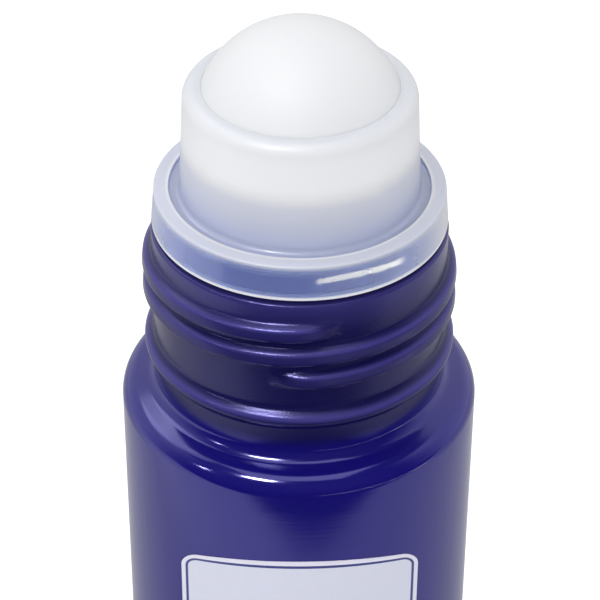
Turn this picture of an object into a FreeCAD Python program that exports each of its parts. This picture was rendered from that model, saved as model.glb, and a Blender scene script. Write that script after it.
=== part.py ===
"""Roll-on bottle: threaded bottle, snap-in ball housing, roller ball and front label.

The origin is the middle of the standing face, +Z is up and the label faces -Y. Lengths are in millimetres.
Radii are chained outwards from the roller ball, heights upwards from the standing face.
"""
import FreeCAD, Part
import math
import os

import Sketcher

SHEET = "Sizes"

# Driving dimensions: each one is a cell of the sheet, under its own alias
DIMENSIONS = {
    # Roller ball
    "ball_radius": 12.7,
    "ball_wall": 2.0,
    "ball_clearance": 0.2,
    # Ball housing: tower and lip
    "tower_wall": 0.95,
    "tower_draft": 0.65,
    "tower_foot_round": 0.6,
    "lip_angle": 23.0,
    "lip_crown": 0.12,
    "lip_round": 1.6,
    # Ball housing: seat under the ball
    "seat_angle": 43.6,
    "seat_step": 0.1,
    "seat_wall": 1.3,
    "seat_web": 1.7,
    "feed_hole_radius": 5.0,
    # Ball housing: flange and skirt over the rim of the neck
    "gutter_width": 1.32,
    "gutter_slope": 0.15,
    "gutter_depth": 0.4,
    "ring_width": 1.8,
    "ring_crown": 0.13,
    "ring_round": 0.2,
    "flange_plate": 1.55,
    "skirt_draft": 0.38,
    "skirt_wall": 0.82,
    "skirt_clearance": 0.08,
    "skirt_gap": 0.64,
    "skirt_round": 0.25,
    # Ball housing: plug in the bore of the neck
    "plug_wall": 1.25,
    "plug_clearance": 0.2,
    "plug_depth": 7.0,
    "plug_round": 0.5,
    "seal_drop": 3.0,
    "seal_half_height": 0.6,
    "seal_clearance": 0.05,
    # Bottle: rim, neck and transfer bead
    "spigot_wall": 1.3,
    "spigot_height": 3.63,
    "rim_round": 0.3,
    "neck_step": 0.1,
    "ledge_round": 0.4,
    "neck_root_round": 1.6,
    "bead_rise": 6.15,
    "bead_half_height": 1.4,
    "bead_half_crest": 0.5,
    "bead_depth": 1.2,
    "bead_round": 0.9,
    # Bottle: thread
    "thread_gap": 5.78,
    "thread_pitch": 3.45,
    "thread_turns": 2.07,
    "thread_drop": 3.53,
    "thread_start_angle": -10.0,
    "thread_depth": 1.25,
    "thread_sink": 0.5,
    "thread_half_base": 1.3,
    "thread_half_crest": 0.75,
    "thread_lean": 0.18,
    "thread_round": 0.35,
    "thread_end_step": 0.12,
    # Bottle: shoulder, body and base
    "shoulder_width": 4.3,
    "shoulder_rise": 0.9,
    "shoulder_round": 2.4,
    "shoulder_wall": 1.5,
    "inner_root_round": 1.8,
    "inner_shoulder_round": 1.2,
    "body_height": 57.67,
    "body_wall": 1.2,
    "base_wall": 1.4,
    "base_recess": 1.2,
    "heel_round": 3.0,
    "foot_width": 2.4,
    "recess_slope": 1.6,
    "recess_round": 0.8,
    # Front label
    "label_thickness": 0.1,
    "label_glue": 0.03,
    "label_half_width": 14.85,
    "label_drop": 11.97,
    "label_margin": 9.0,
    "label_arch_radius": 34.6,
    "label_corner_round": 2.6,
    "label_turn": 0.8,
    # How far a cut runs past what it cuts
    "overrun": 1.0,
}


class Term:
    """A number with its formula over the sheet: the number draws a sketch, the formula binds it."""

    def __init__(self, value, formula):
        self.value = value
        self.formula = formula

    def __add__(self, other):
        return Term(self.value + other.value, f"({self.formula} + {other.formula})")

    def __sub__(self, other):
        return Term(self.value - other.value, f"({self.formula} - {other.formula})")

    def __mul__(self, other):
        return Term(self.value * other.value, f"({self.formula} * {other.formula})")


def sine(angle):
    """Sine of an angle in degrees."""
    return Term(math.sin(math.radians(angle.value)), f"sin({angle.formula})")


def cosine(angle):
    """Cosine of an angle in degrees."""
    return Term(math.cos(math.radians(angle.value)), f"cos({angle.formula})")


def leg(hypotenuse, other):
    """The other short side of a right-angled triangle."""
    square = hypotenuse * hypotenuse - other * other
    return Term(math.sqrt(square.value), f"sqrt({square.formula})")


class Corner:
    """A corner of an outline, with its rounding or the arc that leaves it for the next corner."""

    def __init__(self, across, up, rounding=None, arc=None, bulge=1):
        self.across = across
        self.up = up
        self.rounding = rounding
        self.arc = arc
        self.bulge = bulge

    def point(self):
        """The corner as drawn, in the plane of the sketch."""
        return FreeCAD.Vector(self.across.value, self.up.value, 0)


ZERO = Term(0.0, "0")

document = FreeCAD.newDocument("RollOnBottle")
sheet = document.addObject("Spreadsheet::Sheet", SHEET)
size = {}
for row, (alias, number) in enumerate(DIMENSIONS.items(), start=1):
    sheet.set(f"A{row}", alias)
    sheet.set(f"B{row}", str(number))
    sheet.setAlias(f"B{row}", alias)
    size[alias] = Term(number, f"{SHEET}.{alias}")
document.recompute()


def new_body(name):
    """An empty body whose label names its file."""
    body = document.addObject("PartDesign::Body", name)
    body.Label = name
    return body


def new_sketch(body, name, role="XZ_Plane"):
    """A sketch in one of the body's own origin planes: across is +X and up is +Z in XZ_Plane."""
    sketch = body.newObject("Sketcher::SketchObject", name)
    plane = next(feature for feature in body.Origin.OriginFeatures if feature.Role == role)
    sketch.AttachmentSupport = (plane, [""])
    sketch.MapMode = "FlatFace"
    return sketch


def bind(sketch, kind, places, term):
    """Add a dimension to a sketch and tie it to its formula."""
    index = sketch.addConstraint(Sketcher.Constraint(kind, *places, term.value))
    sketch.setExpression(f"Constraints[{index}]", term.formula)


def hold(sketch, geometry, end, across, up):
    """Hold a point of a sketch at its place from the sketch's origin."""
    horizontal_axis, vertical_axis, origin = -1, -2, (-1, 1)
    for kind, term, axis in (("DistanceX", across, vertical_axis), ("DistanceY", up, horizontal_axis)):
        if term is ZERO:
            sketch.addConstraint(Sketcher.Constraint("PointOnObject", geometry, end, axis))
        elif term.value < 0:
            bind(sketch, kind, (geometry, end, *origin), ZERO - term)
        else:
            bind(sketch, kind, (*origin, geometry, end), term)


def nearest_end(sketch, geometry, point):
    """Which end of a line or an arc lies at a point: 1 is its start and 2 its end."""
    return min((1, 2), key=lambda end: sketch.getPoint(geometry, end).distanceToPoint(point))


def rounding_of(before, corner, after):
    """Ends and middle of the arc that rounds a corner between two straight sides."""
    inward = (before.point() - corner.point()).normalize()
    outward = (after.point() - corner.point()).normalize()
    half_angle = inward.getAngle(outward) / 2
    setback = corner.rounding.value / math.tan(half_angle)
    reach = corner.rounding.value / math.sin(half_angle) - corner.rounding.value
    middle = corner.point() + (inward + outward).normalize() * reach
    return corner.point() + inward * setback, middle, corner.point() + outward * setback


def arc_between(corner, after):
    """The arc of a given radius from one corner to the next: bulge 1 swells to the left of its chord."""
    start, end = corner.point(), after.point()
    chord = end - start
    left = FreeCAD.Vector(-chord.y, chord.x, 0).normalize()
    radius, half_chord = corner.arc.value, chord.Length / 2
    sagitta = radius - math.sqrt(radius * radius - half_chord * half_chord)
    return Part.Arc(start, (start + end) / 2 + left * sagitta * corner.bulge, end)


def draw(sketch, corners):
    """Draw a closed outline through corners and bind every size in it."""
    count = len(corners)
    neighbours = [(corners[place - 1], corners[(place + 1) % count]) for place in range(count)]
    arrives, leaves, sides = {}, {}, {}
    for place, corner in enumerate(corners):
        before, after = neighbours[place]
        arrives[place] = leaves[place] = corner.point()
        if corner.rounding:
            arrives[place], _, leaves[place] = rounding_of(before, corner, after)
    for place, corner in enumerate(corners):
        following = (place + 1) % count
        if corner.arc:
            side = arc_between(corner, corners[following])
        else:
            side = Part.LineSegment(leaves[place], arrives[following])
        sides[place] = sketch.addGeometry(side, False)
    for place, corner in enumerate(corners):
        before, after = neighbours[place]
        side_in, side_out = sides[(place - 1) % count], sides[place]
        end_in = nearest_end(sketch, side_in, arrives[place])
        end_out = nearest_end(sketch, side_out, leaves[place])
        if corner.rounding:
            first, middle, last = rounding_of(before, corner, after)
            arc = sketch.addGeometry(Part.Arc(first, middle, last), False)
            start, end = nearest_end(sketch, arc, first), nearest_end(sketch, arc, last)
            apex = sketch.addGeometry(Part.Point(corner.point()), True)
            sketch.addConstraint([
                Sketcher.Constraint("Tangent", side_in, end_in, arc, start),
                Sketcher.Constraint("Tangent", arc, end, side_out, end_out),
                Sketcher.Constraint("PointOnObject", apex, 1, side_in),
                Sketcher.Constraint("PointOnObject", apex, 1, side_out),
            ])
            bind(sketch, "Radius", (arc,), corner.rounding)
            hold(sketch, apex, 1, corner.across, corner.up)
        else:
            sketch.addConstraint(Sketcher.Constraint("Coincident", side_in, end_in, side_out, end_out))
            hold(sketch, side_out, end_out, corner.across, corner.up)
        if corner.arc:
            bind(sketch, "Radius", (side_out,), corner.arc)


def rectangle(left, right, bottom, top):
    """Corners of a rectangle with its sides along the axes of its sketch."""
    return [Corner(left, bottom), Corner(right, bottom), Corner(right, top), Corner(left, top)]


def revolve(body, kind, sketch):
    """Turn a sketch all the way about its own upright axis."""
    feature = body.newObject(kind, f"{sketch.Name}_turned")
    feature.Profile = sketch
    feature.ReferenceAxis = (sketch, ["V_Axis"])
    feature.Angle = 360.0
    return feature


# Radii, from the ball outwards
cup_radius = size["ball_radius"] + size["ball_clearance"]
tower_top_radius = cup_radius + size["tower_wall"]
tower_foot_radius = tower_top_radius + size["tower_draft"]
ring_inner_radius = tower_foot_radius + size["gutter_width"]
ring_outer_radius = ring_inner_radius + size["ring_width"]
skirt_radius = ring_outer_radius + size["skirt_draft"]
skirt_bore_radius = skirt_radius - size["skirt_wall"]
spigot_radius = skirt_bore_radius - size["skirt_clearance"]
bore_radius = spigot_radius - size["spigot_wall"]
plug_radius = bore_radius - size["plug_clearance"]
plug_bore_radius = plug_radius - size["plug_wall"]
neck_radius = skirt_radius + size["neck_step"]
crest_radius = neck_radius + size["thread_depth"]
body_radius = neck_radius + size["shoulder_width"]

# Heights, from the standing face upwards
neck_foot = size["body_height"] + size["shoulder_rise"]
bead_height = neck_foot + size["bead_rise"]
thread_start = bead_height + size["thread_gap"]
thread_climb = size["thread_pitch"] * size["thread_turns"]
thread_end = thread_start + thread_climb
ledge_height = thread_end + size["thread_drop"]
land_height = ledge_height + size["spigot_height"]
ring_height = land_height + size["flange_plate"]
gutter_height = ring_height + size["ring_crown"] - size["gutter_depth"]
seat_height = gutter_height + size["seat_step"]
ball_height = seat_height + cup_radius * sine(size["seat_angle"])


def bottle_outline():
    """Half section of the bottle wall: outside from the base up to the rim, then inside back down."""
    foot_radius = body_radius - size["heel_round"] - size["foot_width"]
    recess_radius = foot_radius - size["recess_slope"]
    inner_radius = body_radius - size["body_wall"]
    floor_height = size["base_recess"] + size["base_wall"]
    bead_radius = neck_radius + size["bead_depth"]
    recess, bead, rim = size["recess_round"], size["bead_round"], size["rim_round"]
    return [
        Corner(ZERO, size["base_recess"]),
        Corner(recess_radius, size["base_recess"], recess),
        Corner(foot_radius, ZERO, recess),
        Corner(body_radius, ZERO, size["heel_round"]),
        Corner(body_radius, size["body_height"], size["shoulder_round"]),
        Corner(neck_radius, neck_foot, size["neck_root_round"]),
        Corner(neck_radius, bead_height - size["bead_half_height"], bead),
        Corner(bead_radius, bead_height - size["bead_half_crest"], bead),
        Corner(bead_radius, bead_height + size["bead_half_crest"], bead),
        Corner(neck_radius, bead_height + size["bead_half_height"], bead),
        Corner(neck_radius, ledge_height, size["ledge_round"]),
        Corner(spigot_radius, ledge_height),
        Corner(spigot_radius, land_height, rim),
        Corner(bore_radius, land_height, rim),
        Corner(bore_radius, neck_foot - size["shoulder_wall"], size["inner_root_round"]),
        Corner(inner_radius, size["body_height"] - size["shoulder_wall"], size["inner_shoulder_round"]),
        Corner(inner_radius, size["base_wall"], size["heel_round"] - size["body_wall"]),
        Corner(foot_radius, size["base_wall"], recess),
        Corner(recess_radius, floor_height, recess),
        Corner(ZERO, floor_height),
    ]


def turn_about_axis(sketch, angle):
    """Turn a sketch of XZ_Plane about the bottle's axis, to an angle counted from the front to the right."""
    sketch.AttachmentOffset = FreeCAD.Placement(FreeCAD.Vector(), FreeCAD.Rotation(FreeCAD.Vector(0, 1, 0), 1))
    sketch.setExpression("AttachmentOffset.Rotation.Angle", angle.formula)


def fade_thread_end(body, name, angle, height, sides):
    """Cut one end of the thread by a flat face that meets the neck there, so the ridge fades out."""
    sketch = new_sketch(body, name)
    turn_about_axis(sketch, angle)
    face_radius = neck_radius + size["thread_end_step"]
    for axis, share in (("x", sine(angle)), ("z", cosine(angle))):
        sketch.setExpression(f"AttachmentOffset.Base.{axis}", (face_radius * share).formula)
    reach = leg(crest_radius, face_radius) + size["overrun"]
    near, far = sides(size["overrun"], reach)
    low, high = height - size["thread_half_base"], height + size["thread_half_base"]
    draw(sketch, rectangle(near, far, low - size["thread_end_step"], high + size["thread_end_step"]))
    document.recompute()
    volume = body.Shape.Volume
    pocket = body.newObject("PartDesign::Pocket", f"{name}_cut")
    pocket.Profile = sketch
    pocket.Reversed = True
    pocket.setExpression("Length", (size["thread_depth"] + size["overrun"]).formula)
    document.recompute()
    if not body.Shape.Volume < volume:
        raise RuntimeError(f"{name} cuts nothing")


def make_bottle():
    """Blow-moulded bottle: one hollow turned wall with a threaded neck."""
    body = new_body("bottle")
    wall = new_sketch(body, "bottle_wall")
    draw(wall, bottle_outline())
    revolve(body, "PartDesign::Revolution", wall)
    right_angle = Term(90.0, "90")
    ridge = new_sketch(body, "thread_ridge")
    turn_about_axis(ridge, size["thread_start_angle"] - right_angle)
    base, crest, root = size["thread_half_base"], size["thread_half_crest"], neck_radius - size["thread_sink"]
    draw(ridge, [
        Corner(root, thread_start - base),
        Corner(neck_radius, thread_start - base),
        Corner(crest_radius, thread_start - crest, size["thread_round"]),
        Corner(crest_radius - size["thread_lean"], thread_start + crest, size["thread_round"]),
        Corner(neck_radius, thread_start + base),
        Corner(root, thread_start + base),
    ])
    thread = body.newObject("PartDesign::AdditiveHelix", "thread")
    thread.Profile = ridge
    thread.ReferenceAxis = (ridge, ["V_Axis"])
    thread.Mode = "pitch-turns-angle"
    thread.setExpression("Pitch", size["thread_pitch"].formula)
    thread.setExpression("Turns", size["thread_turns"].formula)
    document.recompute()
    full_turn = Term(360.0, "360")
    start_angle = size["thread_start_angle"]
    end_angle = start_angle + full_turn * size["thread_turns"]
    fade_thread_end(body, "thread_start_fade", start_angle, thread_start,
                    lambda margin, reach: (ZERO - margin, reach))
    fade_thread_end(body, "thread_end_fade", end_angle, thread_end,
                    lambda margin, reach: (ZERO - reach, margin))
    return body


def make_ball_housing():
    """Moulded housing: skirt over the rim, plug in the bore, seat under the ball and lip over it."""
    lip_across = cup_radius * cosine(size["lip_angle"])
    lip_height = ball_height + cup_radius * sine(size["lip_angle"])
    web_height = seat_height - size["seat_web"]
    under_radius = cup_radius + size["seat_wall"]
    under_across = leg(under_radius, ball_height - web_height)
    feed = size["feed_hole_radius"]
    skirt_foot = ledge_height + size["skirt_gap"]
    plug_foot = ledge_height - size["plug_depth"]
    seal_height = ledge_height - size["seal_drop"]
    seal_radius = bore_radius - size["seal_clearance"]
    ring_crest = ring_height + size["ring_crown"]
    body = new_body("ball_housing")
    section = new_sketch(body, "housing_section")
    draw(section, [
        Corner(skirt_radius, skirt_foot, size["skirt_round"]),
        Corner(ring_outer_radius, ring_height, size["ring_round"]),
        Corner(ring_inner_radius, ring_crest, size["ring_round"]),
        Corner(ring_inner_radius - size["gutter_slope"], gutter_height),
        Corner(tower_foot_radius, gutter_height, size["tower_foot_round"]),
        Corner(tower_top_radius, lip_height + size["lip_crown"], size["lip_round"]),
        Corner(lip_across, lip_height, arc=cup_radius, bulge=1),
        Corner(cup_radius, ball_height),
        Corner(cup_radius, seat_height),
        Corner(cup_radius * cosine(size["seat_angle"]), seat_height, arc=cup_radius, bulge=1),
        Corner(feed, ball_height - leg(cup_radius, feed)),
        Corner(feed, ball_height - leg(under_radius, feed), arc=under_radius, bulge=-1),
        Corner(under_across, web_height),
        Corner(plug_bore_radius, web_height),
        Corner(plug_bore_radius, plug_foot),
        Corner(plug_radius, plug_foot, size["plug_round"]),
        Corner(plug_radius, seal_height - size["seal_half_height"]),
        Corner(seal_radius, seal_height),
        Corner(plug_radius, seal_height + size["seal_half_height"]),
        Corner(plug_radius, land_height),
        Corner(skirt_bore_radius, land_height),
        Corner(skirt_bore_radius, skirt_foot),
    ])
    revolve(body, "PartDesign::Revolution", section)
    return body


def make_roller_ball():
    """Hollow ball, caught between the seat and the lip of the housing."""
    body = new_body("roller_ball")
    ball = body.newObject("PartDesign::AdditiveSphere", "ball")
    ball.setExpression("Radius", size["ball_radius"].formula)
    document.recompute()
    hollow = body.newObject("PartDesign::SubtractiveSphere", "ball_hollow")
    hollow.setExpression("Radius", (size["ball_radius"] - size["ball_wall"]).formula)
    body.setExpression("Placement.Base.z", ball_height.formula)
    return body


def make_front_label():
    """Thin label on the front of the body, with an arched top and foot and rounded corners."""
    body = new_body("front_label")
    half_width, arch = size["label_half_width"], size["label_arch_radius"]
    inner = body_radius + size["label_glue"]
    outer = inner + size["label_thickness"]
    arch_rise = arch - leg(arch, half_width)
    low, high = size["label_margin"], size["body_height"] - size["label_drop"]
    shape = new_sketch(body, "label_shape")
    draw(shape, [
        Corner(ZERO - half_width, low + arch_rise, arc=arch, bulge=-1),
        Corner(half_width, low + arch_rise),
        Corner(half_width, high - arch_rise, arc=arch, bulge=-1),
        Corner(ZERO - half_width, high - arch_rise),
    ])
    block = body.newObject("PartDesign::Pad", "label_block")
    block.Profile = shape
    block.setExpression("Length", (outer + size["overrun"]).formula)
    document.recompute()
    corners = [f"Edge{number}" for number, edge in enumerate(block.Shape.Edges, start=1)
               if isinstance(edge.Curve, Part.Line) and abs(edge.tangentAt(edge.FirstParameter).y) > 0.5]
    rounded = body.newObject("PartDesign::Fillet", "label_corners")
    rounded.Base = (block, corners)
    rounded.setExpression("Radius", size["label_corner_round"].formula)
    document.recompute()
    around = new_sketch(body, "label_around")
    bottom, top = low - size["overrun"], high + size["overrun"]
    draw(around, rectangle(ZERO, inner, bottom, top))
    draw(around, rectangle(outer, outer + half_width, bottom, top))
    document.recompute()
    volume = body.Shape.Volume
    revolve(body, "PartDesign::Groove", around)
    document.recompute()
    if not body.Shape.Volume < volume:
        raise RuntimeError("the label stays a block")
    body.Placement.Rotation = FreeCAD.Rotation(FreeCAD.Vector(0, 0, 1), 1)
    body.setExpression("Placement.Rotation.Angle", size["label_turn"].formula)
    return body


def check(parts):
    """Stop if any object of the document failed or any part is not one sound solid."""
    for item in document.Objects:
        if "Invalid" in item.State or "Error" in item.State:
            raise RuntimeError(f"{item.Label} failed: {item.State}")
    for part in parts:
        if part.Shape.isNull() or not part.Shape.isValid() or len(part.Shape.Solids) != 1:
            raise RuntimeError(f"{part.Label} is not one sound solid")


def main():
    """Build the four parts and write each one to its own file."""
    parts = [make_bottle(), make_ball_housing(), make_roller_ball(), make_front_label()]
    document.recompute()
    check(parts)
    os.makedirs("parts", exist_ok=True)
    for part in parts:
        part.Shape.exportStep(f"parts/{part.Label}.step")
        box = part.Shape.BoundBox
        print(f"{part.Label}: {part.Shape.Volume:.1f} mm3, z {box.ZMin:.2f} to {box.ZMax:.2f}")


main()
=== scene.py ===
"""Looks of a roll-on bottle: the bottle, its ball housing, the roller ball and the front label.

Each piece is a mesh in metres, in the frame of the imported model, and stands for one of its nodes.
The bottle's axis is the Z axis, its foot is at zero and its label faces -Y.
"""

import logging
import math
from dataclasses import dataclass
from enum import Enum

import bmesh
import bpy
from mathutils import Matrix, Vector


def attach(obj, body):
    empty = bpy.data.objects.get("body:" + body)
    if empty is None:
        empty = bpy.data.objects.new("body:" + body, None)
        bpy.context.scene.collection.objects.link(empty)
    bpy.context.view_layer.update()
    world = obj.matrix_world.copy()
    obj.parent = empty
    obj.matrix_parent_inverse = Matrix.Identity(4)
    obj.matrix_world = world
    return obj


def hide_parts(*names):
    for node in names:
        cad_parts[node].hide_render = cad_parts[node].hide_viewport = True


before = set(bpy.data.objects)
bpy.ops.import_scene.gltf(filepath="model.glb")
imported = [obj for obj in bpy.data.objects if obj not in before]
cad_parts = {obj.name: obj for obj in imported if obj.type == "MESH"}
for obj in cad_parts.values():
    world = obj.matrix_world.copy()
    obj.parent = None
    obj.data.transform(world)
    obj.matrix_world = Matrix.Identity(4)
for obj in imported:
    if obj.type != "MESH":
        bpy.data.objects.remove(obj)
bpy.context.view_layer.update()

LOG = logging.getLogger("roll_on_bottle")
MM = 0.001
SIDEWAYS = (1.0, 0.0, 0.0)
BACKWARD = (0.0, 1.0, 0.0)
UPRIGHT = (0.0, 0.0, 1.0)
SHARP_ANGLE = math.radians(38.0)
MERGE_DISTANCE = 0.0005 * MM
WATTS_PER_RADIANCE = 4.0
CLEARNESS = "clearness"
# Name of the share of painted light on each point of the neck.
PAINTED_LIGHT = "painted_light"
BLACK = (0.0, 0.0, 0.0)
WHITE = (1.0, 1.0, 1.0)

Colour = tuple[float, float, float]
Scale = tuple[float, float, float]
Point = tuple[float, float, float]
Span = tuple[float, float]
Socket = bpy.types.NodeSocket
Inputs = dict[str | int, object]


def ramp(value: float, low: float, high: float) -> float:
    """How far a value has come from a low end to a high one, from 0 to 1."""
    return min(max((value - low) / (high - low), 0.0), 1.0)


def towards(azimuth: float, elevation: float = 0.0) -> Vector:
    """Find a direction from the bottle.

    Args:
        azimuth: Angle in degrees, from the front to the right.
        elevation: Angle in degrees above the table.

    Returns:
        The direction, with a length of 1.
    """
    turn, rise = math.radians(azimuth), math.radians(elevation)
    return Vector((math.sin(turn) * math.cos(rise), -math.cos(turn) * math.cos(rise), math.sin(rise)))


class Node(Enum):
    """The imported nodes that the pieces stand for."""

    BOTTLE = "bottle"
    HOUSING = "ball_housing"
    BALL = "roller_ball"
    LABEL = "front_label"


class Body(Enum):
    """The bodies that the pieces ride on."""

    BOTTLE = "bottle"
    BALL = "ball"


class Slot(Enum):
    """The record's material slots."""

    BOTTLE = "bottle_plastic"
    HOUSING = "housing_plastic"
    BALL = "ball_plastic"
    LABEL = "label_film"


class Sight(Enum):
    """Which rays a studio thing shows itself to."""

    ALL = "all"
    SURFACES = "surfaces"
    REFLECTIONS = "reflections"

    def apply(self, thing: bpy.types.Object) -> None:
        """Set a thing's ray switches.

        Args:
            thing: The lamp or the mesh object.
        """
        if self is not Sight.ALL:
            thing.visible_camera = False
            thing.visible_transmission = False
            thing.visible_diffuse = self is Sight.SURFACES
            thing.visible_glossy = self is Sight.REFLECTIONS


class Nodes:
    """A node tree that is filled and joined in few words."""

    def __init__(self, tree: bpy.types.NodeTree) -> None:
        """Take over a tree and empty it.

        Args:
            tree: The node tree of a material or of the world.
        """
        self.tree = tree
        tree.nodes.clear()

    def add(self, kind: str, inputs: Inputs | None = None, **settings: str) -> bpy.types.Node:
        """Add a node.

        Args:
            kind: Blender's name of the node type.
            inputs: Values or output sockets, by the name or number of the input that takes them.
            **settings: Properties of the node itself.

        Returns:
            The new node.
        """
        node = self.tree.nodes.new(kind)
        for name, value in settings.items():
            setattr(node, name, value)
        for name, value in (inputs or {}).items():
            if isinstance(value, Socket):
                self.tree.links.new(value, node.inputs[name])
            else:
                node.inputs[name].default_value = value
        return node

    def combine(self, operation: str, first: Socket, second: Socket) -> Socket:
        """Reckon with two numbers.

        Args:
            operation: Blender's name of what is done.
            first: The socket with the first number.
            second: The socket with the second number.

        Returns:
            The socket with the result.
        """
        return self.add("ShaderNodeMath", {0: first, 1: second}, operation=operation).outputs[0]

    def noise(self, place: Socket, stretch: Scale, detail: float = 2.0) -> Socket:
        """Add a noise pattern in the piece's own space.

        Args:
            place: The coordinates to read.
            stretch: How many grains fit into a metre along X, Y and Z.
            detail: How many finer layers the grain has.

        Returns:
            The socket with the grain, from 0 to 1.
        """
        mapping = self.add("ShaderNodeMapping", {"Vector": place, "Scale": stretch})
        inputs = {"Vector": mapping.outputs["Vector"], "Scale": 1.0, "Detail": detail}
        return self.add("ShaderNodeTexNoise", inputs).outputs["Fac"]

    def spread(self, value: Socket, low: float, high: float,
               from_low: float = 0.0, from_high: float = 1.0) -> Socket:
        """Map a value to a range, smoothly between its ends.

        Args:
            value: The socket to map.
            low: What its lower end becomes.
            high: What its upper end becomes.
            from_low: The lower end.
            from_high: The upper end.

        Returns:
            The socket with the mapped value.
        """
        inputs = {"Value": value, "From Min": from_low, "From Max": from_high, "To Min": low, "To Max": high}
        return self.add("ShaderNodeMapRange", inputs, interpolation_type="SMOOTHSTEP").outputs["Result"]

    def blend(self, share: Socket, first: Socket | float, second: Socket | float) -> Socket:
        """Blend two numbers by a share.

        Args:
            share: The socket with the share of the second number.
            first: A number or a socket.
            second: A number or a socket.

        Returns:
            The socket with the blended number.
        """
        # Inputs 2 and 3 of the node take numbers.
        return self.add("ShaderNodeMix", {0: share, 2: first, 3: second}, data_type="FLOAT").outputs[0]

    def tint(self, share: Socket, first: Socket | Colour, second: Socket | Colour) -> Socket:
        """Blend two colours by a share.

        Args:
            share: The socket with the share of the second colour.
            first: A colour or a socket.
            second: A colour or a socket.

        Returns:
            The socket with the blended colour.
        """
        # Inputs 6 and 7 of the node take colours.
        colours = {6: first, 7: second}
        for number, colour in colours.items():
            if not isinstance(colour, Socket):
                colours[number] = (*colour, 1.0)
        return self.add("ShaderNodeMix", {0: share, **colours}, data_type="RGBA").outputs[2]

    def relief(self, height: Socket, strength: Socket | float, depth: float) -> Socket:
        """Rough the surface up.

        Args:
            height: The socket with the pattern.
            strength: How much of it shows.
            depth: How deep it goes.

        Returns:
            The socket with the surface's direction.
        """
        inputs = {"Strength": strength, "Distance": depth, "Height": height}
        return self.add("ShaderNodeBump", inputs).outputs["Normal"]

    def mirrored(self) -> Socket:
        """Whether a ray comes from a reflection."""
        return self.add("ShaderNodeLightPath").outputs["Is Glossy Ray"]

    def shown(self) -> Socket:
        """Whether a ray goes straight to the camera or comes through clear plastic."""
        path = self.add("ShaderNodeLightPath").outputs
        return self.combine("MAXIMUM", path["Is Camera Ray"], path["Is Transmission Ray"])

    def behind(self, place: Socket, turn: float) -> Socket:
        """Find how far behind the bottle a place is.

        Args:
            place: The coordinates to read.
            turn: How many degrees the direction is turned about the bottle.

        Returns:
            The socket with the distance, below zero in front of the bottle.
        """
        rotation = (0.0, 0.0, -math.radians(turn))
        turned = self.add("ShaderNodeMapping", {"Vector": place, "Rotation": rotation})
        return self.add("ShaderNodeSeparateXYZ", {"Vector": turned.outputs["Vector"]}).outputs["Y"]

    def glow(self, strength: Socket, colour: Colour = WHITE) -> None:
        """Make a surface that only gives light.

        Args:
            strength: The socket with the strength of the light.
            colour: The light's colour.
        """
        light = self.add("ShaderNodeEmission", {"Color": (*colour, 1.0), "Strength": strength})
        self.add("ShaderNodeOutputMaterial", {"Surface": light.outputs["Emission"]})


def new_material(name: str) -> tuple[bpy.types.Material, Nodes, Socket]:
    """Make an empty material.

    Args:
        name: Name of the material.

    Returns:
        The material, its nodes and the socket with the piece's own coordinates.
    """
    material = bpy.data.materials.new(name)
    material.use_nodes = True
    nodes = Nodes(material.node_tree)
    place = nodes.add("ShaderNodeTexCoord").outputs["Object"]
    return material, nodes, place


@dataclass(frozen=True)
class Finish:
    """What every finish has in common: a name, two colours and a principled shader."""

    name: str
    colour: Colour
    deeper_colour: Colour

    def end(self, nodes: Nodes, inputs: Inputs) -> None:
        """Add the shader and the output.

        Args:
            nodes: The material's nodes.
            inputs: Values or sockets for the shader's inputs.
        """
        shader = nodes.add("ShaderNodeBsdfPrincipled", inputs)
        nodes.add("ShaderNodeOutputMaterial", {"Surface": shader.outputs["BSDF"]})


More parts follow.
